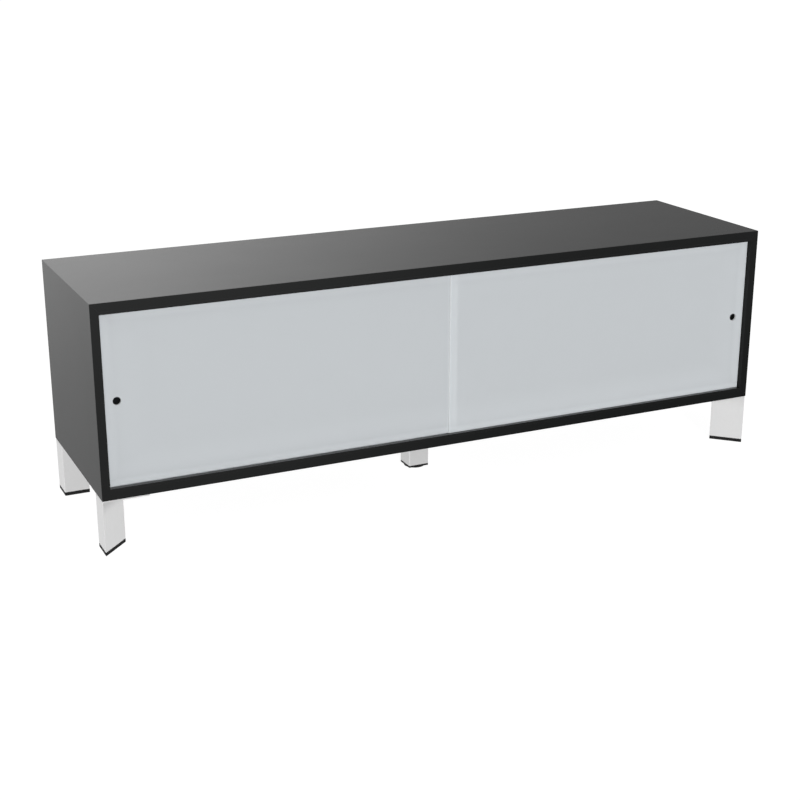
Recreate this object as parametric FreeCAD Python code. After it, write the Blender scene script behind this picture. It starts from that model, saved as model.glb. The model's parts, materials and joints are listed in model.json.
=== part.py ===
"""Low sliding-door cabinet: a mitred black carcass on five short legs, with two
glass doors that slide past each other in a top and a bottom track.

Frame: millimetres, +Z up, +X to the right, front towards -Y. The origin is on the
floor, under the middle of the carcass.
"""
import FreeCAD
import Part
import math
import os
from FreeCAD import Vector

# ---------------------------------------------------------------- driving sizes
# carcass
width = 1600.0               # over the side panels
depth = 420.0                # front edge to rear edge
carcass_height = 412.0       # underside of the bottom panel to the top face
ground_clearance = 121.0     # floor to the underside of the bottom panel
board = 18.0                 # thickness of panels and partition
edge_round = 0.5             # softened outer edges of the carcass

# back panel, let into a rebate from behind
back_thickness = 6.0
back_rebate = 9.0            # how far the rebate bites into each board
back_play = 0.5              # between the back panel's edge and the rebate

# doors: two panes of glass, one behind the other
glass = 4.0                  # glass thickness
door_recess = 12.1           # front edge of the carcass to the front door's face
door_pitch = 6.5             # from one door's middle plane to the other's
door_overlap = 19.0          # of the two doors when both are closed
door_end_gap = 0.5           # glass edge to side panel, closed or fully open
door_lift = 9.5              # free height above a door, to lift it out
door_edge_round = 1.9        # rounded upright edges of the glass
finger_hole = 17.0           # diameter
finger_hole_inset = 28.7     # glass edge to the middle of the finger hole
finger_hole_height = 185.5   # glass bottom edge to the middle of the finger hole

# door tracks: a wide one with two rails at the bottom, one with two channels at the top
lip_height = 6.0             # of the track that shows under or over the board
lip_depth = 9.6              # bottom front lip, from the front edge to the doors' groove
track_wall = 1.5
bottom_groove = 5.0          # how deep the bottom track is let into the bottom panel
top_groove = 8.5             # how deep the top track is let into the top panel
rail_width = 1.6
rail_height = 1.5
channel_play = 0.75          # each side of the glass, in the top channels

# plastic shoes that carry the glass on the rails, and rubber buffers let into the side panels
shoe_web = 1.5               # between the glass edge and the top of the rail
shoe_grip = 2.5              # how far a shoe's cheeks reach up the glass
shoe_length = 40.0
shoe_inset = 50.0            # glass edge to the near end of a shoe
shoe_play = 0.3              # to the rail's sides, the track floor and half the other door's shoe
buffer_gap = 0.2             # left between a buffer and the glass
buffer_pocket = 1.5          # how deep a buffer is let into the side panel
buffer_reach = 8.0           # how far a buffer reaches up or down the glass

# centre partition
partition_setback = 4.0      # behind the rear wall of the tracks

# carcass joints
mitre_dowel_diameter = 6.0
mitre_dowel_cover = 1.2      # board left outside the end of a mitre dowel
mitre_dowels_per_corner = 4
mitre_dowel_inset = 55.0     # from the front and rear edges
bore_cover = 6.0             # board left beyond a bore in a panel's inner face
dowel_diameter = 8.0
dowel_in_partition = 18.0
dowel_inset = 24.0           # from the partition's front and rear edges
cam_diameter = 15.0
cam_cover = 5.5              # board left behind a cam
cam_edge = 24.0              # cam middle to the partition's end
cam_inset = 70.0             # from the partition's front and rear edges
cam_bolt_diameter = 6.0
cam_slot_width = 1.4
fit_play = 0.05              # radial, of dowels, cams and bolts

# screws
screw_cover = 3.0            # board left beyond the tip of a screw
plate_screw_diameter = 4.2
plate_screw_head = 8.4
plate_screw_head_height = 2.4
track_screw_diameter = 2.6
track_screw_head = 4.4
track_screws_per_track = 6
track_screw_inset = 90.0     # first screw from the end of the track
back_screw_diameter = 3.0
back_screw_head = 6.0
back_screw_length = 18.0
back_screws_along = 8        # in the top and in the bottom edge
back_screws_up = 3           # in each side and in the partition
back_screw_inset = 60.0      # first screw from the corner of the back panel
drive_slot_width = 0.8
drive_slot_depth = 1.0
screw_play = 0.1             # radial, in the pieces that a screw passes

# corner legs: three-sided tubes under screwed plates, with rubber feet
leg_side = 57.5              # the two equal sides of the triangle
leg_inset = 0.5              # leg to the carcass's faces
leg_wall = 2.0
leg_round = 1.0              # outer upright edges
tube_inner_round = 0.5       # inner upright edges of legs and post
plate_thickness = 3.0
corner_plate_side = 98.0
corner_plate_inset = 1.0
plate_corner_round = 3.0
corner_screw_margin = 15.0   # screw to the plate's edges
foot_height = 8.5
foot_plug = 10.0             # foot reaching up into the tube
plug_play = 0.1
foot_chamfer = 0.6

# centre leg: square tube, end cap and levelling glide
post_side = 50.0
post_round = 2.5             # outer upright edges
post_plate_side = 92.0
post_screw_margin = 12.0
cap_height = 4.6
cap_plug = 12.0
glide_diameter = 50.0
glide_thickness = 2.4
glide_gap = 0.3              # glide to end cap
glide_chamfer = 0.6
stem_diameter = 10.0
stem_in_glide = 1.4
stem_height = 40.0           # top of the stem above the floor
stem_play = 0.06             # radial, in the end cap

# ------------------------------------------------------------- derived places
half_width = width / 2
inner_half = half_width - board
front = -depth / 2
rear = depth / 2
underside = ground_clearance
top = underside + carcass_height
floor_in = underside + board          # top face of the bottom panel
ceiling_in = top - board              # underside of the top panel
back_front = rear - back_thickness    # front face of the back panel

front_door_y = front + door_recess + glass / 2        # middle planes of the two doors
rear_door_y = front_door_y + door_pitch
shoe_half = door_pitch / 2 - shoe_play
groove_rear = rear_door_y + shoe_half + shoe_play
track_rear = groove_rear + track_wall
channel_half = glass / 2 + channel_play
channel_floor = floor_in - bottom_groove + track_wall
channel_ceiling = ceiling_in + top_groove - track_wall

door_width = (2 * inner_half - 2 * door_end_gap + door_overlap) / 2
door_travel = 2 * inner_half - 2 * door_end_gap - door_width
rail_top = channel_floor + rail_height
glass_bottom = rail_top + shoe_web
glass_top = channel_ceiling - door_lift

partition_front = track_rear + partition_setback
bore_depth = board - bore_cover

RIGHT, BACK, UP = Vector(1, 0, 0), Vector(0, 1, 0), Vector(0, 0, 1)
LEFT, DOWN = -RIGHT, -UP


# -------------------------------------------------------------------- helpers
def box(x0, x1, y0, y1, z0, z1):
    """Block between two limits on each axis."""
    return Part.makeBox(x1 - x0, y1 - y0, z1 - z0, Vector(x0, y0, z0))


def prism(points, along):
    """Straight extrusion of a closed outline."""
    return Part.Face(Part.makePolygon(points + points[:1])).extrude(along)


def rod(point, direction, radius, length):
    """Cylinder from a point along a direction."""
    return Part.makeCylinder(radius, length, point, direction)


def placed(shape, point, outward):
    """Copy of a shape made on the origin along +Z, moved to a point and turned."""
    copy = shape.copy()
    copy.Placement = FreeCAD.Placement(point, FreeCAD.Rotation(UP, outward))
    return copy


def evenly(first, last, count):
    """Places from first to last with equal steps, or the middle for a single one."""
    if count == 1:
        return [(first + last) / 2]
    return [first + (last - first) * i / (count - 1) for i in range(count)]


def carve(shape, tools):
    """Shape with every tool cut out of it."""
    return shape.cut(Part.makeCompound(tools)) if tools else shape


def upright_edges(shape):
    """Straight vertical edges of a prism."""
    return [e for e in shape.Edges if abs(e.tangentAt(e.FirstParameter).z) > 0.999]


def export(name, *solids):
    """Write one node as a STEP file holding its separate solids."""
    parts = [s for shape in solids for s in shape.Solids]
    shape = parts[0] if len(parts) == 1 else Part.makeCompound(parts)
    shape.exportStep(f"parts/{name}.step")


# --------------------------------------------------------------------- screws
def slotted(head, top_z, reach):
    """Cross-shaped drive recess cut into a screw's head."""
    half = drive_slot_width / 2
    floor_z = top_z - drive_slot_depth
    for a, b in ((reach, half), (half, reach)):
        head = head.cut(box(-a, a, -b, b, floor_z, top_z))
    return head


def pan_screw(shank, head, head_height, length):
    """Pan-head screw: the head's underside is at the origin."""
    body = Part.makeCylinder(shank / 2, length, Vector(), DOWN)
    cap = Part.makeCylinder(head / 2, head_height)
    rim = [e for e in cap.Edges if e.BoundBox.ZMin > head_height / 2 and e.Closed]
    cap = cap.makeFillet(head_height / 3, rim)
    return body.fuse(slotted(cap, head_height, head / 3)).removeSplitter()


def flush_blank(shank, head, length):
    """Outer shape of a countersunk screw: the head's face is at the origin."""
    cone_height = (head - shank) / 2
    cone = Part.makeCone(shank / 2, head / 2, cone_height, Vector(0, 0, -cone_height))
    return Part.makeCylinder(shank / 2, length, Vector(), DOWN).fuse(cone).removeSplitter()


def flush_screw(shank, head, length):
    """Countersunk screw with its drive recess."""
    return slotted(flush_blank(shank, head, length), 0, head / 3)


def flush_hole(shank, head, length):
    """Room for a countersunk screw, with play all round."""
    return flush_blank(shank + 2 * screw_play, head + 2 * screw_play, length + screw_play)


# ------------------------------------------------------ joints of the carcass
mitre_dowel_half = math.sqrt(2) * (board / 2 - mitre_dowel_cover) - mitre_dowel_diameter / 2


def mitre_dowels(radius, half_length):
    """Dowels square to the four mitres, and as a cutter with more radius."""
    rods = []
    for side in (-1, 1):
        for level in (-1, 1):
            direction = Vector(-side, 0, level).normalize()
            x = side * (half_width - board / 2)
            z = underside + carcass_height / 2 + level * (carcass_height - board) / 2
            for y in evenly(front + mitre_dowel_inset, rear - mitre_dowel_inset,
                            mitre_dowels_per_corner):
                middle = Vector(x, y, z)
                rods.append(rod(middle - direction * half_length, direction,
                                radius, 2 * half_length))
    return rods


def partition_dowels(play):
    """Dowels between the partition's ends and the top and bottom panels."""
    rods = []
    for y in (partition_front + dowel_inset, back_front - dowel_inset):
        low = Vector(0, y, floor_in - bore_depth - play)
        high = Vector(0, y, ceiling_in - dowel_in_partition - play)
        length = bore_depth + dowel_in_partition + 2 * play
        rods += [rod(low, UP, dowel_diameter / 2 + play, length),
                 rod(high, UP, dowel_diameter / 2 + play, length)]
    return rods


def cam_places():
    """Middle of each cam on the partition's right face, and the way to its panel."""
    return [(Vector(board / 2, y, z), way)
            for y in (partition_front + cam_inset, back_front - cam_inset)
            for z, way in ((floor_in + cam_edge, DOWN), (ceiling_in - cam_edge, UP))]


def cam_bolts(play):
    """Bolts from the panels into the cams."""
    return [rod(Vector(0, place.y, place.z) - way * (cam_bolt_diameter / 2 + play), way,
                cam_bolt_diameter / 2 + play,
                cam_edge + bore_depth + cam_bolt_diameter / 2 + 2 * play)
            for place, way in cam_places()]


def cams(play):
    """Cam housings, sunk in the partition's right face."""
    return [rod(place, LEFT, cam_diameter / 2 + play, board - cam_cover + play)
            for place, way in cam_places()]


# --------------------------------------------------------- places of the screws
def corner_screw_places():
    """Screws of the front left leg's plate, on the plate's underside."""
    near = corner_plate_inset + corner_screw_margin
    far = corner_plate_inset + corner_plate_side - corner_screw_margin
    z = underside - plate_thickness
    return [Vector(-half_width + x, front + y, z) for x, y in ((near, far), (far, far), (far, near))]


def post_screw_places():
    """Screws of the centre leg's plate, on the plate's underside."""
    reach = post_plate_side / 2 - post_screw_margin
    z = underside - plate_thickness
    return [Vector(x, y, z) for x in (-reach, reach) for y in (-reach, reach)]


def track_screw_places(y, z):
    """Screws in a row along a track."""
    end = inner_half - track_screw_inset
    return [Vector(x, y, z) for x in evenly(-end, end, track_screws_per_track)]


def bottom_track_screw_places():
    """Screws between the two rails of the bottom track."""
    return track_screw_places((front_door_y + rear_door_y) / 2, channel_floor)


def top_track_screw_places():
    """Screws in the rear channel of the top track."""
    return track_screw_places(rear_door_y, channel_ceiling)


def back_screw_places():
    """Screws around the back panel and into the partition, on its rear face."""
    edge = back_rebate / 2
    side_x = inner_half + edge
    low, high = floor_in - edge, ceiling_in + edge
    places = []
    for x in evenly(-side_x + back_screw_inset, side_x - back_screw_inset, back_screws_along):
        places += [Vector(x, rear, low), Vector(x, rear, high)]
    for z in evenly(low + back_screw_inset, high - back_screw_inset, back_screws_up):
        places += [Vector(x, rear, z) for x in (-side_x, 0, side_x)]
    return places


plate_screw_length = plate_thickness + board - bottom_groove - screw_cover
plate_screw_hole = plate_screw_diameter / 2 + screw_play
bottom_track_screw_length = track_wall + board - bottom_groove - screw_cover
top_track_screw_length = track_wall + board - top_groove - screw_cover
back_screw_hole = flush_hole(back_screw_diameter, back_screw_head, back_screw_length)


def plate_screw_holes(places):
    """Bores for plate screws, through the plate and into the board."""
    return [rod(p, UP, plate_screw_hole, plate_screw_length + screw_play) for p in places]


# --------------------------------------------------------------------- carcass
def envelope():
    """Outer shape of the carcass, with its softened edges."""
    block = box(-half_width, half_width, front, rear, underside, top)
    return block.makeFillet(edge_round, block.Edges) if edge_round else block


def back_opening():
    """The rebate that takes the back panel, as one block."""
    reach = inner_half + back_rebate
    return box(-reach, reach, back_front, rear, floor_in - back_rebate, ceiling_in + back_rebate)


def mitred_board(outer_a, outer_b, inner_b, inner_a):
    """Board with both ends mitred, from its four corners seen from the front."""
    points = [Vector(x, front, z) for x, z in (outer_a, outer_b, inner_b, inner_a)]
    blank = prism(points, BACK * depth)
    return blank.common(envelope()).cut(back_opening())


def track_room(groove_front, z0, z1):
    """Groove in a board for a track, from the wall in front of the doors' groove."""
    return box(-inner_half, inner_half, groove_front - track_wall, track_rear, z0, z1)


def mirrored_corners(shape):
    """A front left piece and its three mirror images, by corner name."""
    right = shape.mirror(Vector(), RIGHT)
    return {"front_left": shape, "front_right": right,
            "rear_left": shape.mirror(Vector(), BACK), "rear_right": right.mirror(Vector(), BACK)}


def make_carcass():
    """Four mitred boards, partition, back panel and what joins them."""
    dowel_room = mitre_dowels(mitre_dowel_diameter / 2 + fit_play, mitre_dowel_half + fit_play)
    joint_room = partition_dowels(fit_play) + cam_bolts(fit_play)
    back_room = [placed(back_screw_hole, p, BACK) for p in back_screw_places()]

    outer = [(-half_width, top), (half_width, top), (half_width, underside), (-half_width, underside)]
    inner = [(-inner_half, ceiling_in), (inner_half, ceiling_in),
             (inner_half, floor_in), (-inner_half, floor_in)]

    top_panel = mitred_board(outer[0], outer[1], inner[1], inner[0])
    top_track_hole = flush_hole(track_screw_diameter, track_screw_head, top_track_screw_length)
    top_room = [placed(top_track_hole, p, DOWN) for p in top_track_screw_places()]
    top_room.append(track_room(front_door_y - channel_half, ceiling_in, ceiling_in + top_groove))
    export("top_panel", carve(top_panel, dowel_room + joint_room + back_room + top_room))

    bottom_panel = mitred_board(outer[2], outer[3], inner[3], inner[2])
    plate_room = plate_screw_holes(post_screw_places())
    for holes in mirrored_corners(Part.makeCompound(plate_screw_holes(corner_screw_places()))).values():
        plate_room.append(holes)
    bottom_track_hole = flush_hole(track_screw_diameter, track_screw_head, bottom_track_screw_length)
    bottom_room = [placed(bottom_track_hole, p, UP) for p in bottom_track_screw_places()]
    bottom_room.append(track_room(front + lip_depth, floor_in - bottom_groove, floor_in))
    export("bottom_panel", carve(bottom_panel, dowel_room + joint_room + back_room
                                 + plate_room + bottom_room))

    left_panel = mitred_board(outer[3], outer[0], inner[0], inner[3])
    buffer_room = buffers()
    export("left_side_panel", carve(left_panel, dowel_room + back_room + buffer_room))
    right_panel = mitred_board(outer[1], outer[2], inner[2], inner[1])
    export("right_side_panel", carve(right_panel, dowel_room + back_room + buffer_room))

    partition = box(-board / 2, board / 2, partition_front, back_front, floor_in, ceiling_in)
    export("centre_partition", carve(partition, joint_room + cams(fit_play) + back_room))

    reach = inner_half + back_rebate - back_play
    back_panel = box(-reach, reach, back_front, rear, floor_in - back_rebate + back_play,
                     ceiling_in + back_rebate - back_play)
    export("back_panel", carve(back_panel, back_room))
    back_screw = flush_screw(back_screw_diameter, back_screw_head, back_screw_length)
    export("back_panel_screws", *[placed(back_screw, p, BACK) for p in back_screw_places()])

    export("mitre_dowels", *mitre_dowels(mitre_dowel_diameter / 2, mitre_dowel_half))
    export("partition_dowels", *partition_dowels(0))
    export("partition_cam_bolts", *cam_bolts(0))
    export("partition_cams", *[slotted_cam(cam, place) for cam, (place, way)
                               in zip(cams(0), cam_places())])


def slotted_cam(cam, place):
    """Cam housing with room for its bolt and a cross slot in its face."""
    reach, half = cam_diameter / 3, cam_slot_width / 2
    face = place.x
    slots = [box(face - 2 * cam_slot_width, face, place.y - a, place.y + a, place.z - b, place.z + b)
             for a, b in ((reach, half), (half, reach))]
    return carve(cam, cam_bolts(fit_play) + slots)


# ---------------------------------------------------------------------- tracks
def lip_hollow(lip_rear, z0, z1):
    """Chamber inside a track's front lip."""
    return box(-inner_half, inner_half, front + track_wall, lip_rear - track_wall,
               z0 + track_wall, z1 - track_wall)


def rail(y, play):
    """Rail of the bottom track under one door, or the room for it."""
    half = rail_width / 2 + play
    return box(-inner_half, inner_half, y - half, y + half, channel_floor, rail_top)


def make_bottom_track():
    """Track with a front lip and a wide groove, in which two rails carry the doors."""
    lip_top = floor_in + lip_height
    lip = box(-inner_half, inner_half, front, front + lip_depth, floor_in, lip_top)
    body = track_room(front + lip_depth, floor_in - bottom_groove, lip_top)
    groove = box(-inner_half, inner_half, front + lip_depth, groove_rear, channel_floor, lip_top)
    track = lip.fuse(body).cut(groove)
    for y in (front_door_y, rear_door_y):
        track = track.fuse(rail(y, 0))
    hole = flush_hole(track_screw_diameter, track_screw_head, bottom_track_screw_length)
    holes = [placed(hole, p, UP) for p in bottom_track_screw_places()]
    track = carve(track, [lip_hollow(front + lip_depth, floor_in, lip_top)] + holes)
    export("bottom_track", track.removeSplitter())
    screw = flush_screw(track_screw_diameter, track_screw_head, bottom_track_screw_length)
    export("bottom_track_screws", *[placed(screw, p, UP) for p in bottom_track_screw_places()])


def make_top_track():
    """Track with a front lip and two channels, in which the glass's top edges slide."""
    lip_low = ceiling_in - lip_height
    lip_rear = front_door_y - channel_half
    lip = box(-inner_half, inner_half, front, lip_rear, lip_low, ceiling_in)
    body = track_room(lip_rear, lip_low, ceiling_in + top_groove)
    channels = [box(-inner_half, inner_half, y - channel_half, y + channel_half,
                    lip_low, channel_ceiling) for y in (front_door_y, rear_door_y)]
    hole = flush_hole(track_screw_diameter, track_screw_head, top_track_screw_length)
    holes = [placed(hole, p, DOWN) for p in top_track_screw_places()]
    track = carve(lip.fuse(body), channels + [lip_hollow(lip_rear, lip_low, ceiling_in)] + holes)
    export("top_track", track.removeSplitter())
    screw = flush_screw(track_screw_diameter, track_screw_head, top_track_screw_length)
    export("top_track_screws", *[placed(screw, p, DOWN) for p in top_track_screw_places()])


def buffers():
    """Buffers in the side panels, one for each end of each pane's bottom and top edge."""
    proud = door_end_gap - buffer_gap
    pads = []
    for x in (-inner_half - buffer_pocket, inner_half - proud):
        for y in (front_door_y, rear_door_y):
            for z0, z1 in ((floor_in, glass_bottom + buffer_reach), (glass_top - buffer_reach, ceiling_in)):
                pads.append(box(x, x + buffer_pocket + proud, y - glass / 2, y + glass / 2, z0, z1))
    return pads


# ----------------------------------------------------------------------- doors
def make_door(side, x0, y, hole_x):
    """Pane with a finger hole, and the two shoes that carry it on its rail."""
    x1 = x0 + door_width
    pane = box(x0, x1, y - glass / 2, y + glass / 2, glass_bottom, glass_top)
    pane = pane.makeFillet(door_edge_round, upright_edges(pane))
    hole = rod(Vector(hole_x, y - glass, glass_bottom + finger_hole_height), BACK,
               finger_hole / 2, 2 * glass)
    export(f"{side}_door_glass", pane.cut(hole))

    shoes = [box(a, a + shoe_length, y - shoe_half, y + shoe_half,
                 channel_floor + shoe_play, glass_bottom + shoe_grip)
             for a in (x0 + shoe_inset, x1 - shoe_inset - shoe_length)]
    export(f"{side}_door_shoes", *[shoe.cut(pane).cut(rail(y, shoe_play)) for shoe in shoes])


def make_doors():
    """The right door runs in front of the left one."""
    left_edge = -inner_half + door_end_gap
    right_edge = inner_half - door_end_gap
    make_door("left", left_edge, rear_door_y, left_edge + finger_hole_inset)
    make_door("right", right_edge - door_width, front_door_y, right_edge - finger_hole_inset)


# ------------------------------------------------------------------------ legs
def triangle(side, inset, z0, z1, bend):
    """Front left leg's three-sided prism, set in from its own outer faces."""
    x0 = -half_width + leg_inset + inset
    corner_y = front + leg_inset + leg_side - inset
    points = [Vector(x0, corner_y - side, z0), Vector(x0, corner_y, z0), Vector(x0 + side, corner_y, z0)]
    blank = prism(points, UP * (z1 - z0))
    return blank.makeFillet(bend, upright_edges(blank))


def inner_side(inset):
    """Side of the triangle that lies inset from all three faces."""
    return leg_side - inset * (2 + math.sqrt(2))


def square_post(side, z0, z1, bend):
    """Centre leg's square prism with rounded corners."""
    half = side / 2
    blank = box(-half, half, -half, half, z0, z1)
    return blank.makeFillet(bend, upright_edges(blank))


def chamfered_base(shape, size):
    """Shape with the edges of its underside chamfered."""
    low = shape.BoundBox.ZMin
    rim = [e for e in shape.Edges if e.BoundBox.ZMax < low + size / 10]
    return shape.makeChamfer(size, rim)


def make_corner_legs():
    """Leg tube, plate, foot and screws at each corner of the carcass."""
    plate_low = underside - plate_thickness
    tube = triangle(leg_side, 0, foot_height, plate_low, leg_round)
    hollow = triangle(inner_side(leg_wall), leg_wall, foot_height, plate_low, tube_inner_round)
    tube = tube.cut(hollow)

    plug_inset = leg_wall + plug_play
    foot = chamfered_base(triangle(leg_side, 0, 0, foot_height, leg_round), foot_chamfer)
    foot = foot.fuse(triangle(inner_side(plug_inset), plug_inset,
                              foot_height, foot_height + foot_plug, tube_inner_round))

    x0 = -half_width + corner_plate_inset
    y0 = front + corner_plate_inset
    plate = box(x0, x0 + corner_plate_side, y0, y0 + corner_plate_side, plate_low, underside)
    plate = plate.makeFillet(plate_corner_round, upright_edges(plate))
    plate = carve(plate, plate_screw_holes(corner_screw_places()))

    screw = pan_screw(plate_screw_diameter, plate_screw_head, plate_screw_head_height,
                      plate_screw_length)
    screws = Part.makeCompound([placed(screw, p, DOWN) for p in corner_screw_places()])

    for name, shape in (("leg", tube), ("leg_plate", plate), ("foot", foot), ("leg_screws", screws)):
        for corner, copy in mirrored_corners(shape).items():
            export(f"{corner}_{name}", copy)


def make_centre_leg():
    """Square post, its plate, end cap and turning levelling glide."""
    plate_low = underside - plate_thickness
    cap_low = glide_thickness + glide_gap
    cap_high = cap_low + cap_height
    inner = post_side - 2 * leg_wall
    tube = square_post(post_side, cap_high, plate_low, post_round)
    export("centre_leg", tube.cut(square_post(inner, cap_high, plate_low, tube_inner_round)))

    half = post_plate_side / 2
    plate = box(-half, half, -half, half, plate_low, underside)
    plate = plate.makeFillet(plate_corner_round, upright_edges(plate))
    export("centre_leg_plate", carve(plate, plate_screw_holes(post_screw_places())))
    screw = pan_screw(plate_screw_diameter, plate_screw_head, plate_screw_head_height,
                      plate_screw_length)
    export("centre_leg_screws", *[placed(screw, p, DOWN) for p in post_screw_places()])

    cap = square_post(post_side, cap_low, cap_high, post_round)
    plug = square_post(inner - 2 * plug_play, cap_high, cap_high + cap_plug, tube_inner_round)
    bore = rod(Vector(0, 0, cap_low), UP, stem_diameter / 2 + stem_play, cap_height + cap_plug)
    export("centre_leg_end_cap", cap.fuse(plug).cut(bore))

    disc = chamfered_base(Part.makeCylinder(glide_diameter / 2, glide_thickness), glide_chamfer)
    seat = glide_thickness - stem_in_glide
    export("centre_glide_disc", disc.cut(rod(Vector(0, 0, seat), UP, stem_diameter / 2, stem_in_glide)))
    export("centre_glide_stem", rod(Vector(0, 0, seat), UP, stem_diameter / 2, stem_height - seat))


os.makedirs("parts", exist_ok=True)
make_carcass()
make_bottom_track()
make_top_track()
export("door_buffers", *buffers())
make_doors()
make_corner_legs()
make_centre_leg()
print(f"door width {door_width:.1f}, door travel {door_travel:.1f}, "
      f"glass {glass_bottom:.1f} to {glass_top:.1f}, height over all {top:.1f}")
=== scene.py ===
"""Looks of a low black cabinet with two sliding doors of milky glass.

Metres, +Z up, +X to the right, doors facing -Y, floor at z = 0.
"""
import json
import math

import bmesh
import bpy
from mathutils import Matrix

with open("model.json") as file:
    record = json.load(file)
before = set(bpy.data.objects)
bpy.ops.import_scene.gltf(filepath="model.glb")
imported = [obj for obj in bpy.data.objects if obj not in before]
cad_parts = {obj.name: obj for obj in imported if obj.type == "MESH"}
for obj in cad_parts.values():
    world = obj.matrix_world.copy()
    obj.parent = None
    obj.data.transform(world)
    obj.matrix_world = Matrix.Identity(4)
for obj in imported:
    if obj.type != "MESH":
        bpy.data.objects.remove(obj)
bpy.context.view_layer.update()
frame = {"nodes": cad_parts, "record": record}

# ------------------------------------------------------------------- camera
CAMERA_PLACE = (-1.43354, -2.97878, 1.26992)
CAMERA_TURN = 25.1077        # degrees to the right of straight ahead
CAMERA_DIP = 18.5488         # degrees below level
CAMERA_LENS = 66.778         # millimetres
CAMERA_FILM = 36.0           # millimetres, across the picture

# ------------------------------------------------------------------- studio
# brightness of the studio wall by direction, in degrees to the right of straight ahead:
# as it lights the cabinet, and as it shows in glossy surfaces
ROOM_LIGHT = ((-180, 0.28), (-90, 0.32), (0, 0.26), (90, 0.28), (180, 0.28))
MIRRORED_WALL = ((-180, 0.80), (-90, 1.10), (9, 1.13), (13, 1.07), (15, 1.00), (18, 0.84), (21, 0.70),
                 (24.5, 0.556), (27, 0.456), (30, 0.375), (33, 0.325), (37, 0.28), (60, 0.28), (130, 0.30),
                 (180, 0.80))
WALL_LIGHT_MOST = 1.5        # brightest level that the two rows above may hold
# lamps: where each stands, in degrees to the right of the cabinet's front and above level,
# how bright it makes a white card that faces it, and how many degrees it is across
LAMPS = {"front_light": (-14.0, 14.0, 0.52, 5.0),
         "left_light": (-96.0, 0.6, 0.22, 1.2),
         "right_light": (96.0, 0.6, 0.51, 1.2)}
# a small lamp near the floor on the left: its place, its width and height, and how bright it makes
# a white card that stands at its reach, which is about where the left legs are
LOW_LAMP_PLACE = (-3.3, 0.0, 0.05)
LOW_LAMP_SIZE = (0.20, 0.05)
LOW_LAMP_REACH = 2.5
LOW_LAMP_LIGHT = 0.290
FLOOR_SIDE = 40.0
FLOOR_LIGHT = 0.42           # light that the floor throws back at the cabinet
FLOOR_WHITE = 0.95           # the floor's own white, as seen directly
FLOOR_SHADE = 0.24           # how much of its light and shadow is seen directly
# the floor in glossy surfaces: distance from the cabinet's middle and brightness there
MIRRORED_FLOOR_NEAR = (0.95, 0.36)
MIRRORED_FLOOR_FAR = (4.0, 0.73)
# and its fall to the dim right side, along x less a share of the distance to the front or back
MIRRORED_FALL_START = (-0.9, 1.08)
MIRRORED_FALL_END = (0.6, 0.43)
MIRRORED_FALL_SLANT = 0.43
# and its dimming in front of the doors, along y
MIRRORED_BEHIND = (-0.25, 1.0)
MIRRORED_IN_FRONT = (-0.5, 0.88)

# ------------------------------------------------------------------- doors and sides
FINGER_HOLE_X = 0.7528       # middle of each finger hole, left or right of the middle
FINGER_HOLE_Z = 0.324
GLASS_FOOT = 0.150           # foot of the glass that shows over the bottom track
GLASS_HEAD = 0.500           # and its head, under the top track
GLASS_END = 0.775            # outer end of the glass that shows, left or right of the middle
GLASS_COVER = 0.594          # how much of what lies behind it the even middle of the glass hides
# a wide and a narrow band along each edge of the glass, where it hides more and so shows lighter: painted
# light that lifts the shade the frame casts on the recessed glass; where the band begins, where it is
# full, and how much it adds there
FOOT_PAINTED_LIGHT_BANDS = ((GLASS_FOOT + 0.08, GLASS_FOOT, 0.062),
              (GLASS_FOOT + 0.0115, GLASS_FOOT - 0.0065, 0.32))
HEAD_PAINTED_LIGHT_BANDS = ((GLASS_HEAD - 0.06, GLASS_HEAD - 0.02, 0.012),
              (GLASS_HEAD - 0.014, GLASS_HEAD, 0.068))
END_PAINTED_LIGHT_BANDS = ((GLASS_END - 0.10, GLASS_END - 0.02, 0.025),
             (GLASS_END - 0.022, GLASS_END, 0.12))
GLASS_LENIENCE = 0.34        # share of its cover that the glass drops for light bound elsewhere
# strip at the inner end of each door, left or right of the middle, where it drops all of it:
# how the strip sets in and how it ends
STRIP_START = ((0.0055, 0.0), (0.0065, 1.0))
STRIP_STOP = ((0.0097, 1.0), (0.0105, 0.0))
# inner faces of the side panels, by their x times the x of the way they face, and the stretch of y
# behind the doors over which they turn from black to dark grey: painted light, for the light that comes in
# through the glass
INNER_FACES = ((-0.6, 1.0), (-0.3, 0.0))
PAINTED_LIGHT_BEHIND_DOORS = ((-0.185, 0.0), (-0.165, 1.0))

# ------------------------------------------------------------------- colours
DUST = (0.46, 0.44, 0.41)
LAMINATE_BLACK = (0.0050, 0.0057, 0.0056)
# painted light: the black laminate's inner faces, lightened behind the doors as if lit through the glass
LAMINATE_INSIDE_PAINTED_LIGHT = (0.030, 0.032, 0.033)
LAMINATE_WORN = (0.018, 0.018, 0.018)
BOARD_BLACK = (0.030, 0.032, 0.034)
TRACK_BLACK = (0.0045, 0.0050, 0.0050)
TRACK_LINES = (0.0066, 0.0071, 0.0071)
TRACK_WORN = (0.03, 0.03, 0.03)
GLASS_WHITE = (0.87, 0.91, 0.94)
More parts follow.
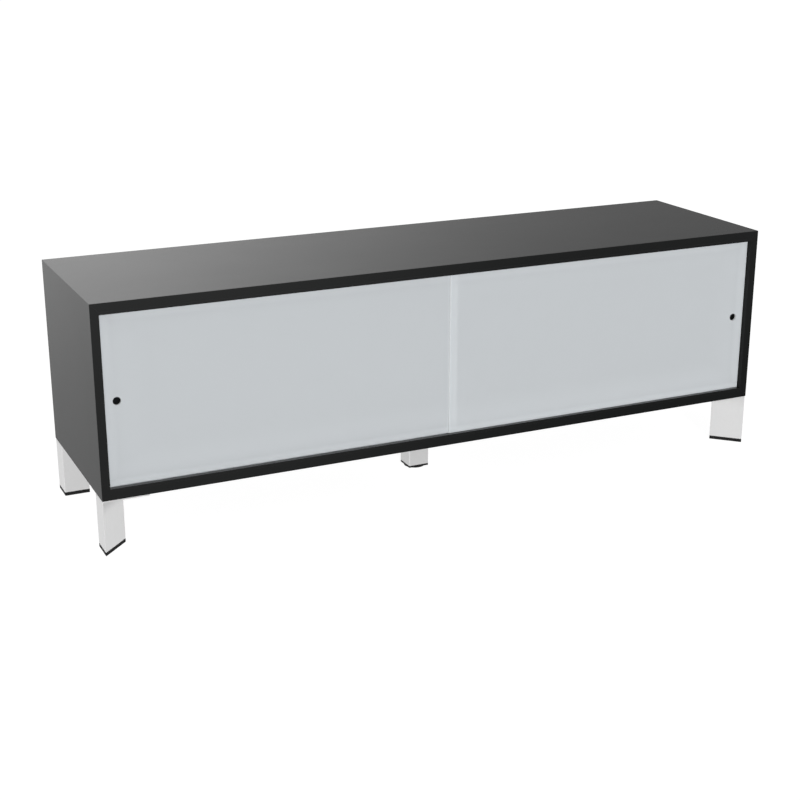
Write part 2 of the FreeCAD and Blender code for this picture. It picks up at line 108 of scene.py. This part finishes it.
# ground edges of the glass: their own pale white, raised further as painted light against the shade on
# edges that face sideways
GLASS_EDGE_WITH_PAINTED_LIGHT = (0.97, 1.0, 0.99)
POWDER_GREY = (0.73, 0.73, 0.73)
POWDER_WORN = (0.55, 0.55, 0.55)
RUBBER_BLACK = (0.014, 0.014, 0.014)
RUBBER_BLOOM = (0.05, 0.048, 0.045)
PLASTIC_BLACK = (0.015, 0.015, 0.015)
PLASTIC_WORN = (0.03, 0.03, 0.03)
ZINC_BLUE = (0.58, 0.60, 0.63)
ZINC_STRAW = (0.66, 0.63, 0.56)
CAST_ZINC = (0.48, 0.48, 0.49)
BEECH_DARK = (0.50, 0.33, 0.20)
BEECH_LIGHT = (0.72, 0.54, 0.37)
BEECH_FLECK = (0.30, 0.17, 0.09)


# ------------------------------------------------------------- node helpers
def feed(tree, value, socket):
    """Link another node's output to a socket, or set the socket to a number or a colour."""
    if isinstance(value, bpy.types.NodeSocket):
        tree.links.new(value, socket)
    else:
        socket.default_value = value


def node(tree, kind, **settings):
    """New node. Settings are its own properties, or what goes into its inputs by name."""
    made = tree.nodes.new(kind)
    for name, value in settings.items():
        if hasattr(made, name):
            setattr(made, name, value)
        else:
            feed(tree, value, made.inputs[name.replace("_", " ")])
    return made


def calculate(tree, operation, *values):
    """Result of one operation on numbers and outputs."""
    made = node(tree, "ShaderNodeMath", operation=operation)
    for value, socket in zip(values, made.inputs):
        feed(tree, value, socket)
    return made.outputs[0]


def distance(tree, along, across):
    """Distance to a point that lies so far along one axis and so far along another."""
    squares = calculate(tree, "MULTIPLY_ADD", along, along, calculate(tree, "MULTIPLY", across, across))
    return calculate(tree, "SQRT", squares)


def raised(tree, value, mask, by):
    """Value that is higher by a step where a mask is 1."""
    return calculate(tree, "MULTIPLY_ADD", mask, by, value)


def mapped(tree, value, start, end, kind="SMOOTHSTEP"):
    """Value taken from one pair of (from, to) to another, and held outside them."""
    slope = node(tree, "ShaderNodeMapRange", interpolation_type=kind, Value=value)
    for label, (source, target) in (("Min", start), ("Max", end)):
        feed(tree, source, slope.inputs["From " + label])
        feed(tree, target, slope.inputs["To " + label])
    return slope.outputs["Result"]


def mixed(tree, share, under, over):
    """Colour that goes from one to the other as the share goes from 0 to 1."""
    mix = node(tree, "ShaderNodeMix", data_type="RGBA", Factor=share)
    for colour, socket in ((under, mix.inputs[6]), (over, mix.inputs[7])):
        feed(tree, (*colour, 1) if isinstance(colour, tuple) else colour, socket)
    return mix.outputs[2]


def place_on_piece(tree):
    """Place on a piece, in metres from the frame's origin, as x, y and z."""
    parts = node(tree, "ShaderNodeSeparateXYZ", Vector=node(tree, "ShaderNodeTexCoord").outputs["Object"])
    return parts.outputs["X"], parts.outputs["Y"], parts.outputs["Z"]


def facing(tree):
    """Which way a surface faces, as x, y and z."""
    parts = node(tree, "ShaderNodeSeparateXYZ", Vector=node(tree, "ShaderNodeTexCoord").outputs["Normal"])
    return parts.outputs["X"], parts.outputs["Y"], parts.outputs["Z"]


def clouds(tree, size, drawn=(1, 1, 1), **settings):
    """Soft noise between 0 and 1. Its blots have a size, and are drawn out along the axes."""
    place = node(tree, "ShaderNodeMapping", Vector=node(tree, "ShaderNodeTexCoord").outputs["Object"])
    place.inputs["Scale"].default_value = [1 / length for length in drawn]
    return node(tree, "ShaderNodeTexNoise", Vector=place.outputs[0],
                Scale=calculate(tree, "DIVIDE", 1.0, size), **settings).outputs["Fac"]


def empty_tree(owner):
    """Node tree of a material or the world, cleared."""
    owner.use_nodes = True
    owner.node_tree.nodes.clear()
    return owner.node_tree


# -------------------------------------------------------------- shared effects
def shared_effect(name, output, **inputs):
    """Empty node group with one number output and its number inputs."""
    tree = bpy.data.node_groups.new(name, "ShaderNodeTree")
    for label, value in inputs.items():
        socket = tree.interface.new_socket(label, in_out="INPUT", socket_type="NodeSocketFloat")
        socket.default_value = value
    tree.interface.new_socket(output, in_out="OUTPUT", socket_type="NodeSocketFloat")
    return tree, tree.nodes.new("NodeGroupInput").outputs, tree.nodes.new("NodeGroupOutput").inputs


def effect(tree, group, **inputs):
    """Output of a shared effect placed in a material, with its own values."""
    return node(tree, "ShaderNodeGroup", node_tree=group, **inputs).outputs[0]


def make_fine_texture():
    """Height of a finish's fine texture, with a slower swell in it."""
    tree, given, out = shared_effect("fine_texture", "Height", Size=0.001, Swell=0.3)
    fine = clouds(tree, given["Size"], Detail=3.0, Roughness=0.6)
    swell = clouds(tree, calculate(tree, "MULTIPLY", given["Size"], 6.0), Detail=1.0)
    feed(tree, calculate(tree, "MULTIPLY_ADD", swell, given["Swell"], fine), out["Height"])
    return tree


def make_wiped_gloss():
    """Roughness that drifts a little over a surface, with long faint marks of a cloth."""
    tree, given, out = shared_effect("wiped_gloss", "Roughness", Roughness=0.3, Drift=0.05, Size=0.2)
    patches = clouds(tree, given["Size"], Detail=4.0, Roughness=0.55, Distortion=0.4)
    strokes = clouds(tree, given["Size"], drawn=(2.5, 0.12, 0.12), Detail=3.0, Roughness=0.5)
    stroke_share = 0.5
    both = calculate(tree, "MULTIPLY_ADD", strokes, stroke_share, patches)
    evened = calculate(tree, "SUBTRACT", both, (1 + stroke_share) / 2)   # so that it drifts both ways
    feed(tree, raised(tree, given["Roughness"], evened, by=given["Drift"]), out["Roughness"])
    return tree


def make_settled_dust():
    """Thin dust on what faces up: faint clouds of it, and single specks."""
    tree, given, out = shared_effect("settled_dust", "Cover", Amount=0.01, Size=0.1)
    film = mapped(tree, clouds(tree, given["Size"], Detail=5.0, Roughness=0.65), (0.35, 0.0), (0.75, 1.0))
    specks = mapped(tree, clouds(tree, size=0.0016, Detail=0.0), (0.72, 0.0), (0.78, 6.0))
    up = mapped(tree, facing(tree)[2], (0.5, 0.0), (0.95, 1.0))
    cover = calculate(tree, "MULTIPLY", calculate(tree, "ADD", film, specks), given["Amount"])
    feed(tree, calculate(tree, "MULTIPLY", cover, up), out["Cover"])
    return tree


def make_edge_wear():
    """Mask of rubbed edges: where the surface bends within a width, in uneven stretches."""
    tree, given, out = shared_effect("edge_wear", "Wear", Width=0.0006, Amount=0.5)
    rounded = node(tree, "ShaderNodeBevel", samples=4, Radius=given["Width"])
    along = node(tree, "ShaderNodeVectorMath", operation="DOT_PRODUCT")
    feed(tree, rounded.outputs["Normal"], along.inputs[0])
    feed(tree, node(tree, "ShaderNodeNewGeometry").outputs["True Normal"], along.inputs[1])
    bend = mapped(tree, along.outputs["Value"], (0.998, 0.0), (0.93, 1.0))
    rubbed = mapped(tree, clouds(tree, size=0.03, Detail=4.0, Roughness=0.7), (0.35, 0.15), (0.7, 1.0))
    worn = calculate(tree, "MULTIPLY", bend, rubbed)
    feed(tree, calculate(tree, "MULTIPLY", worn, given["Amount"]), out["Wear"])
    return tree


fine_texture = make_fine_texture()
wiped_gloss = make_wiped_gloss()
settled_dust = make_settled_dust()
edge_wear = make_edge_wear()


# ------------------------------------------------------------------ materials
def new_finish(name, **sockets):
    """New material with its shader. Sockets are the values that are the same all over."""
    made = bpy.data.materials.new(name)
    tree = empty_tree(made)
    shader = node(tree, "ShaderNodeBsdfPrincipled", **sockets)
    node(tree, "ShaderNodeOutputMaterial", Surface=shader.outputs["BSDF"])
    return made, tree, shader.inputs


def relief(tree, sockets, height, strength, step=0.0002):
    """Raise a height pattern on a shader by up to a step in metres."""
    bump = node(tree, "ShaderNodeBump", Strength=strength, Distance=step, Height=height)
    feed(tree, bump.outputs["Normal"], sockets["Normal"])


def toned(tree, colour, spread, size):
    """Colour that is lighter and darker by up to a spread, in soft blots of a size."""
    blots = clouds(tree, size, Detail=4.0, Roughness=0.6)
    darker, lighter = (tuple(part * (1 + way * spread) for part in colour) for way in (-1, 1))
    return mixed(tree, blots, darker, lighter)


def make_laminate():
    """Satin black laminate: pearly texture, cloth marks, rubbed edges and a trace of dust on top.

    The inner faces of the side panels are matt, and dark grey behind the doors as painted light, for the
    light that comes in through the glass.
    """
    made, tree, sockets = new_finish("satin_black_laminate")
    x, y, _ = place_on_piece(tree)
    inner = mapped(tree, calculate(tree, "MULTIPLY", x, facing(tree)[0]), *INNER_FACES)
    # painted light: inner faces turn dark grey behind the doors, standing for light that comes through the
    # glass
    behind = calculate(tree, "MULTIPLY", inner, mapped(tree, y, *PAINTED_LIGHT_BEHIND_DOORS))
    black = mixed(tree, behind, toned(tree, LAMINATE_BLACK, spread=0.15, size=0.05), LAMINATE_INSIDE_PAINTED_LIGHT)
    worn = effect(tree, edge_wear, Width=0.0008, Amount=0.6)
    dust = effect(tree, settled_dust, Amount=0.003, Size=0.15)
    feed(tree, mixed(tree, dust, mixed(tree, worn, black, LAMINATE_WORN), DUST), sockets["Base Color"])
    gloss = effect(tree, wiped_gloss, Roughness=0.24, Drift=0.05, Size=0.25)
    gloss = raised(tree, gloss, worn, by=0.12)
    feed(tree, raised(tree, gloss, inner, by=0.6), sockets["Roughness"])
    relief(tree, sockets, effect(tree, fine_texture, Size=0.0008, Swell=0.4), strength=0.16)
    return made


def make_back_board():
    """Thin fibre board, printed black."""
    made, tree, sockets = new_finish("thin_back_board")
    feed(tree, toned(tree, BOARD_BLACK, spread=0.2, size=0.004), sockets["Base Color"])
    feed(tree, effect(tree, wiped_gloss, Roughness=0.42, Drift=0.10, Size=0.12), sockets["Roughness"])
    relief(tree, sockets, effect(tree, fine_texture, Size=0.0015, Swell=0.6), strength=0.25)
    return made


def make_anodised():
    """Black anodised aluminium with its pressed lines, rubbed brighter on edges and rails."""
    made, tree, sockets = new_finish("black_anodised_track")
    lines = clouds(tree, size=0.0005, drawn=(400.0, 1, 1), Detail=4.0, Roughness=0.7)
    black = mixed(tree, lines, TRACK_BLACK, TRACK_LINES)
    worn = effect(tree, edge_wear, Width=0.0004, Amount=0.5)
    dust = effect(tree, settled_dust, Amount=0.02, Size=0.06)
    feed(tree, mixed(tree, dust, mixed(tree, worn, black, TRACK_WORN), DUST), sockets["Base Color"])
    gloss = effect(tree, wiped_gloss, Roughness=0.25, Drift=0.04, Size=0.2)
    feed(tree, raised(tree, gloss, lines, by=0.03), sockets["Roughness"])
    relief(tree, sockets, lines, strength=0.15, step=0.00005)
    return made


def painted_light_band_pair(tree, place, bands):
    """Painted light: what the wide and the narrow band along one edge of the glass add to its cover,
    against the frame's shade.
    """
    wide, narrow = (mapped(tree, place, (start, 0.0), (full, added)) for start, full, added in bands)
    return calculate(tree, "ADD", wide, narrow)


def glass_cover(tree, edge):
    """How much the glass hides: all at its ground edges, and a little more by foot, head and end as
    painted light against the frame's shade.
    """
    x, _, z = place_on_piece(tree)
    # bands by foot, head and end: painted light that shows the glass lighter where the frame shades it
    foot, head = painted_light_band_pair(tree, z, FOOT_PAINTED_LIGHT_BANDS), painted_light_band_pair(tree, z, HEAD_PAINTED_LIGHT_BANDS)
    end = painted_light_band_pair(tree, calculate(tree, "ABSOLUTE", x), END_PAINTED_LIGHT_BANDS)
    painted_light_rim = calculate(tree, "MAXIMUM", calculate(tree, "MAXIMUM", foot, head), end)
    face = calculate(tree, "ADD", painted_light_rim, GLASS_COVER)
    return raised(tree, face, edge, by=calculate(tree, "SUBTRACT", 1.0, face))


def cover_kept(tree, edge):
    """Share of its cover that the glass keeps: all when looked at, less for light bound elsewhere."""
    across = calculate(tree, "ABSOLUTE", place_on_piece(tree)[0])
    begun, not_over = mapped(tree, across, *STRIP_START), mapped(tree, across, *STRIP_STOP)
    clear = calculate(tree, "MAXIMUM", edge, calculate(tree, "MULTIPLY", begun, not_over))
    dropped = calculate(tree, "MULTIPLY_ADD", clear, 1 - GLASS_LENIENCE, GLASS_LENIENCE)
    path = node(tree, "ShaderNodeLightPath").outputs
    lighting = calculate(tree, "MAXIMUM", path["Is Shadow Ray"], path["Is Diffuse Ray"])
    return calculate(tree, "SUBTRACT", 1.0, calculate(tree, "MULTIPLY", lighting, dropped))


def finger_marks(tree, reach):
    """Greasy prints around the finger hole, fainter away from it until nothing is left at the reach."""
    x, _, z = place_on_piece(tree)
    across = calculate(tree, "SUBTRACT", calculate(tree, "ABSOLUTE", x), FINGER_HOLE_X)
    up = calculate(tree, "SUBTRACT", z, FINGER_HOLE_Z)
    near = mapped(tree, distance(tree, across, up), (0.1 * reach, 1.0), (reach, 0.0))
    prints = clouds(tree, size=0.012, drawn=(1, 1, 1.6), Detail=2.0)
    return calculate(tree, "MULTIPLY", near, mapped(tree, prints, (0.45, 0.0), (0.6, 1.0)))


def make_milky_glass():
    """Satin white glass with ground edges whiter than its faces, partly their own white and partly painted
    light against the shade on them, and finger marks around its hole.
    """
    made, tree, sockets = new_finish("milky_glass")
    edge = mapped(tree, calculate(tree, "ABSOLUTE", facing(tree)[1]), (0.3, 1.0), (0.85, 0.0))
    white = toned(tree, GLASS_WHITE, spread=0.006, size=0.18)
    # the whiter ground edges are partly their own white and partly painted light lifting their shade
    feed(tree, mixed(tree, edge, white, GLASS_EDGE_WITH_PAINTED_LIGHT), sockets["Base Color"])
    # cover is full at the ground edges and higher by foot, head and end: painted light against the shade
    # there
    alpha = calculate(tree, "MULTIPLY", glass_cover(tree, edge), cover_kept(tree, edge))
    feed(tree, alpha, sockets["Alpha"])
    satin = effect(tree, wiped_gloss, Roughness=0.38, Drift=0.06, Size=0.15)
    satin = raised(tree, satin, finger_marks(tree, reach=0.07), by=-0.10)
    feed(tree, raised(tree, satin, edge, by=-0.22), sockets["Roughness"])
    relief(tree, sockets, effect(tree, fine_texture, Size=0.0004, Swell=0.1), strength=0.05, step=0.00005)
    return made


def make_powder_coat():
    """Light grey powder coat with its orange-peel texture, thinner on the edges."""
    made, tree, sockets = new_finish("light_grey_powder_coat")
    worn = effect(tree, edge_wear, Width=0.0007, Amount=0.25)
    dust = effect(tree, settled_dust, Amount=0.05, Size=0.05)
    grey = mixed(tree, worn, toned(tree, POWDER_GREY, spread=0.03, size=0.006), POWDER_WORN)
    feed(tree, mixed(tree, dust, grey, DUST), sockets["Base Color"])
    feed(tree, effect(tree, wiped_gloss, Roughness=0.45, Drift=0.06, Size=0.08), sockets["Roughness"])
    relief(tree, sockets, effect(tree, fine_texture, Size=0.0011, Swell=0.8), strength=0.5)
    return made


def make_rubber():
    """Black foot rubber, with a greyish bloom near the floor."""
    made, tree, sockets = new_finish("foot_rubber", Specular_IOR_Level=0.25)
    low = mapped(tree, place_on_piece(tree)[2], (0.0, 0.5), (0.003, 0.0))
    bloom = calculate(tree, "MULTIPLY", clouds(tree, size=0.006, Detail=4.0, Roughness=0.7), low)
    black = toned(tree, RUBBER_BLACK, spread=0.2, size=0.01)
    feed(tree, mixed(tree, bloom, black, RUBBER_BLOOM), sockets["Base Color"])
    feed(tree, effect(tree, wiped_gloss, Roughness=0.68, Drift=0.1, Size=0.02), sockets["Roughness"])
    relief(tree, sockets, effect(tree, fine_texture, Size=0.0005, Swell=0.5), strength=0.4)
    return made


def make_plastic():
    """Black moulded plastic with a fine spark-eroded texture and smoother edges."""
    made, tree, sockets = new_finish("black_moulded_plastic", Specular_IOR_Level=0.3)
    worn = effect(tree, edge_wear, Width=0.0005, Amount=0.5)
    black = toned(tree, PLASTIC_BLACK, spread=0.15, size=0.01)
    feed(tree, mixed(tree, worn, black, PLASTIC_WORN), sockets["Base Color"])
    gloss = effect(tree, wiped_gloss, Roughness=0.5, Drift=0.08, Size=0.03)
    feed(tree, raised(tree, gloss, worn, by=-0.15), sockets["Roughness"])
    relief(tree, sockets, effect(tree, fine_texture, Size=0.0004, Swell=0.3), strength=0.3)
    return made


def make_zinc_plate():
    """Zinc-plated steel with the blue and straw clouds of its passivation."""
    made, tree, sockets = new_finish("zinc_plated_steel", Metallic=1.0)
    tint = mapped(tree, clouds(tree, size=0.008, Detail=3.0, Distortion=0.6), (0.35, 0.0), (0.65, 1.0))
    feed(tree, mixed(tree, tint, ZINC_BLUE, ZINC_STRAW), sockets["Base Color"])
    feed(tree, effect(tree, wiped_gloss, Roughness=0.32, Drift=0.2, Size=0.01), sockets["Roughness"])
    relief(tree, sockets, effect(tree, fine_texture, Size=0.0005, Swell=0.5), strength=0.15)
    return made


def make_cast_zinc():
    """Die-cast zinc, grainy and in uneven grey."""
    made, tree, sockets = new_finish("cast_zinc", Metallic=1.0)
    feed(tree, toned(tree, CAST_ZINC, spread=0.15, size=0.0015), sockets["Base Color"])
    feed(tree, effect(tree, wiped_gloss, Roughness=0.45, Drift=0.2, Size=0.006), sockets["Roughness"])
    relief(tree, sockets, effect(tree, fine_texture, Size=0.0004, Swell=0.6), strength=0.4)
    return made


def make_beech():
    """Beech wood: reddish tone in long streaks, with short dark flecks."""
    made, tree, sockets = new_finish("beech_wood")
    streaks = clouds(tree, size=0.0012, drawn=(12.0, 1, 12.0), Detail=4.0, Roughness=0.6)
    flecks = clouds(tree, size=0.0005, drawn=(5.0, 1, 5.0), Detail=1.0)
    flecks = mapped(tree, flecks, (0.62, 0.0), (0.72, 0.6))
    wood = mixed(tree, streaks, BEECH_DARK, BEECH_LIGHT)
    feed(tree, mixed(tree, flecks, wood, BEECH_FLECK), sockets["Base Color"])
    feed(tree, effect(tree, wiped_gloss, Roughness=0.6, Drift=0.15, Size=0.01), sockets["Roughness"])
    relief(tree, sockets, streaks, strength=0.3)
    return made


FINISHES = {
    "carcass_black": make_laminate(),
    "back_black": make_back_board(),
    "track_black": make_anodised(),
    "door_glass": make_milky_glass(),
    "leg_paint": make_powder_coat(),
    "rubber_black": make_rubber(),
    "plastic_black": make_plastic(),
    "zinc_steel": make_zinc_plate(),
    "zinc_alloy": make_cast_zinc(),
    "beech": make_beech(),
}


def dress():
    """Give every CAD piece the finish of its slot in the record."""
    slots = {part["node"]: part["material_slot"] for part in frame["record"]["subparts"]}
    for name, slot in slots.items():
        piece = frame["nodes"][name]
        piece.data.materials.clear()
        piece.data.materials.append(FINISHES[slot])


dress()


# ---------------------------------------------------------------------- studio
def shown_directly(tree):
    """1 where a surface is seen by the camera or through glass, and 1 where it is seen in gloss."""
    path = node(tree, "ShaderNodeLightPath").outputs
    shown = calculate(tree, "MAXIMUM", path["Is Camera Ray"], path["Is Transmission Ray"])
    return shown, path["Is Glossy Ray"]


def mirrored_floor_level(tree):
    """Brightness of the floor in glossy surfaces: dimmer near the cabinet and on the right."""
    x, y, _ = place_on_piece(tree)
    near = mapped(tree, distance(tree, x, y), MIRRORED_FLOOR_NEAR, MIRRORED_FLOOR_FAR, "LINEAR")
    along = calculate(tree, "MULTIPLY_ADD", calculate(tree, "ABSOLUTE", y), -MIRRORED_FALL_SLANT, x)
    level = calculate(tree, "MULTIPLY", near, mapped(tree, along, MIRRORED_FALL_START, MIRRORED_FALL_END))
    return calculate(tree, "MULTIPLY", level, mapped(tree, y, MIRRORED_BEHIND, MIRRORED_IN_FRONT))


def chosen(tree, share, under, over):
    """Shader that is one where the share is 0 and the other where it is 1."""
    mix = node(tree, "ShaderNodeMixShader", Fac=share)
    feed(tree, under, mix.inputs[1])
    feed(tree, over, mix.inputs[2])
    return mix.outputs[0]


def make_floor():
    """Pale floor: white seen directly, with the cabinet's soft shadow, and graded in gloss."""
    sheet = bmesh.new()
    bmesh.ops.create_grid(sheet, x_segments=1, y_segments=1, size=FLOOR_SIDE / 2)
    mesh = bpy.data.meshes.new("studio_floor")
    sheet.to_mesh(mesh)
    sheet.free()
    floor = bpy.data.objects.new("studio_floor", mesh)
    bpy.context.collection.objects.link(floor)
    paint = bpy.data.materials.new("pale_floor")
    tree = empty_tree(paint)
    shown, mirrored = shown_directly(tree)
    back = node(tree, "ShaderNodeEmission", Strength=FLOOR_LIGHT).outputs[0]
    graded = node(tree, "ShaderNodeEmission", Strength=mirrored_floor_level(tree)).outputs[0]
    seen = node(tree, "ShaderNodeAddShader")
    feed(tree, node(tree, "ShaderNodeEmission", Strength=FLOOR_WHITE).outputs[0], seen.inputs[0])
    shade = node(tree, "ShaderNodeBsdfDiffuse", Color=(*[FLOOR_SHADE] * 3, 1))
    feed(tree, shade.outputs[0], seen.inputs[1])
    surface = chosen(tree, shown, chosen(tree, mirrored, back, graded), seen.outputs[0])
    node(tree, "ShaderNodeOutputMaterial", Surface=surface)
    mesh.materials.append(paint)


def wall_ramp(tree, share, stops):
    """Grey brightness by direction, as a share of the brightest."""
    ramp = node(tree, "ShaderNodeValToRGB", Fac=share)
    elements = ramp.color_ramp.elements
    while len(elements) > 1:
        elements.remove(elements[-1])
    for i, (degrees, light) in enumerate(stops):
        place = degrees / 360 + 0.5
        stop = elements[0] if i == 0 else elements.new(place)
        stop.position = place
        stop.color = (*[light / WALL_LIGHT_MOST] * 3, 1)
    return ramp.outputs["Color"]


def make_wall_light():
    """Studio wall that lights the cabinet, its mirror image in gloss, and white seen directly."""
    world = bpy.data.worlds.new("studio")
    bpy.context.scene.world = world
    world.cycles.sampling_method = "NONE"
    tree = empty_tree(world)
    shown, mirrored = shown_directly(tree)
    direction = node(tree, "ShaderNodeTexCoord").outputs["Generated"]
    parts = node(tree, "ShaderNodeSeparateXYZ", Vector=direction).outputs
    turn = calculate(tree, "ARCTAN2", parts["X"], parts["Y"])
    share = calculate(tree, "MULTIPLY_ADD", turn, 1 / math.tau, 0.5)
    room, mirror_image = wall_ramp(tree, share, ROOM_LIGHT), wall_ramp(tree, share, MIRRORED_WALL)
    either = mixed(tree, mirrored, room, mirror_image)
    full = node(tree, "ShaderNodeVectorMath", operation="SCALE", Scale=WALL_LIGHT_MOST)
    feed(tree, either, full.inputs[0])
    glow = node(tree, "ShaderNodeBackground", Strength=1.0,
                Color=mixed(tree, shown, full.outputs[0], (1.0, 1.0, 1.0)))
    node(tree, "ShaderNodeOutputWorld", Surface=glow.outputs[0])


def make_lamps():
    """Lamps far off, in front and at both sides, low enough to light the doors and the legs."""
    for name, (turn, up, light, across) in LAMPS.items():
        lamp = bpy.data.objects.new(name, bpy.data.lights.new(name, "SUN"))
        bpy.context.collection.objects.link(lamp)
        lamp.rotation_euler = (math.radians(90 - up), 0, math.radians(turn))
        lamp.visible_glossy = False
        lamp.data.energy = light * math.pi
        lamp.data.angle = math.radians(across)


def make_low_lamp():
    """Small lamp near the floor on the left, which lights the legs there more than the others."""
    lamp = bpy.data.objects.new("low_light", bpy.data.lights.new("low_light", "AREA"))
    bpy.context.collection.objects.link(lamp)
    lamp.location = LOW_LAMP_PLACE
    lamp.rotation_euler = (math.pi / 2, 0, -math.pi / 2)
    lamp.visible_glossy = lamp.visible_camera = False
    lamp.data.shape = "RECTANGLE"
    lamp.data.size, lamp.data.size_y = LOW_LAMP_SIZE
    lamp.data.energy = LOW_LAMP_LIGHT * (math.pi * LOW_LAMP_REACH) ** 2


def make_camera():
    """Camera at the front left, above the top."""
    camera = bpy.data.objects.new("camera", bpy.data.cameras.new("camera"))
    bpy.context.collection.objects.link(camera)
    camera.location = CAMERA_PLACE
    camera.rotation_euler = (math.radians(90 - CAMERA_DIP), 0, math.radians(-CAMERA_TURN))
    camera.data.lens = CAMERA_LENS
    camera.data.sensor_width = CAMERA_FILM
    bpy.context.scene.camera = camera


make_floor()
make_wall_light()
make_lamps()
make_low_lamp()
make_camera()
bpy.context.scene.view_settings.view_transform = "Standard"
